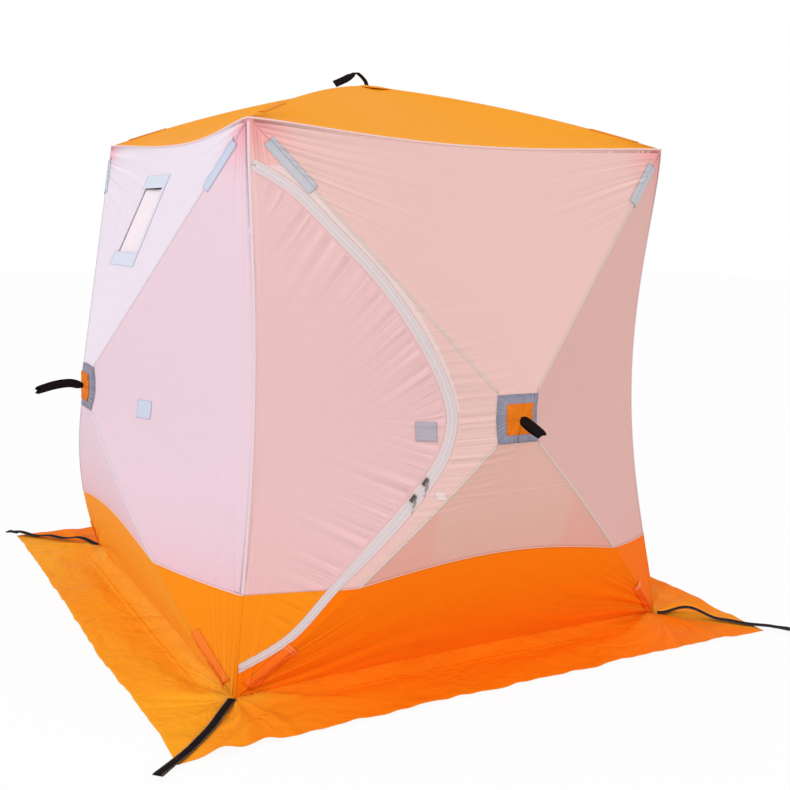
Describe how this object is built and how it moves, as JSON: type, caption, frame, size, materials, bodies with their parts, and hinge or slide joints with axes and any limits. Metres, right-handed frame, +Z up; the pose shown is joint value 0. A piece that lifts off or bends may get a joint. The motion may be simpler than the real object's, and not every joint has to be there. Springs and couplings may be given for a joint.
{
  "type": "pop-up ice fishing shelter",
  "caption": "Pop-up cube shelter for ice fishing: tensioned fabric walls and roof on hubs and poles, with a curved zip door, windows, ground skirt and peg-loop straps.",
  "frame": {"origin": "middle of the footprint, on the ground", "axes": "+Z up, the wall with the door faces -Y, the wall with the picture's window faces -X"},
  "size_m": [2.6902, 2.6902, 2.1524],
  "materials": {
    "pale_cloth": "pale pink-white woven polyester, light shows through",
    "side_cloth": "pale lilac-white woven polyester, light shows through",
    "band_cloth": "orange woven polyester",
    "roof_cloth": "amber woven polyester",
    "skirt_cloth": "orange woven polyester, creased",
    "grey_cloth": "blue-grey reinforcing cloth",
    "pane_cloth": "translucent window flap",
    "zip_tape": "white woven zip tape",
    "zip_metal": "plated die casting",
    "webbing": "black woven webbing",
    "pole": "pultruded composite rod",
    "hub": "moulded polyamide with steel pins"
  },
  "bodies": {
    "shelter": {"front_wall": "pale_cloth", "front_doorway": "pale_cloth", "front_band": "band_cloth", "left_wall": "side_cloth", "left_band": "band_cloth", "back_wall": "pale_cloth", "back_band": "band_cloth", "right_wall": "side_cloth", "right_band": "band_cloth", "roof": "roof_cloth", "front_skirt": "skirt_cloth", "left_skirt": "skirt_cloth", "back_skirt": "skirt_cloth", "right_skirt": "skirt_cloth", "wall_zip": "zip_tape", "wall_tie_patch": "grey_cloth", "left_window_border": "grey_cloth", "left_window_pane": "pane_cloth", "right_window_border": "grey_cloth", "right_window_pane": "pane_cloth", "hub_patches": "grey_cloth", "hub_centres": "band_cloth", "roof_patch": "roof_cloth", "front_hub": "hub", "left_hub": "hub", "back_hub": "hub", "right_hub": "hub", "roof_hub": "hub", "front_poles": "pole", "left_poles": "pole", "back_poles": "pole", "right_poles": "pole", "roof_poles": "pole", "eave_strips": "grey_cloth", "foot_strips": "band_cloth", "roof_strips": "roof_cloth", "pull_straps": "webbing", "roof_strap": "webbing", "corner_straps": "webbing", "inner_pocket": "pale_cloth"},
    "door": {"door_flap": "pale_cloth", "door_flap_band": "band_cloth", "door_zip": "zip_tape", "zip_sliders": "zip_metal", "door_tie_patch": "grey_cloth"}
  },
  "joints": [
    {"name": "door_hinge", "type": "hinge", "parent": "shelter", "child": "door", "pos_m": [-0.867, -0.867, 0.9], "axis": [-0.0369, -0.0369, -0.9986], "range_deg": [0, 180]}
  ]
}
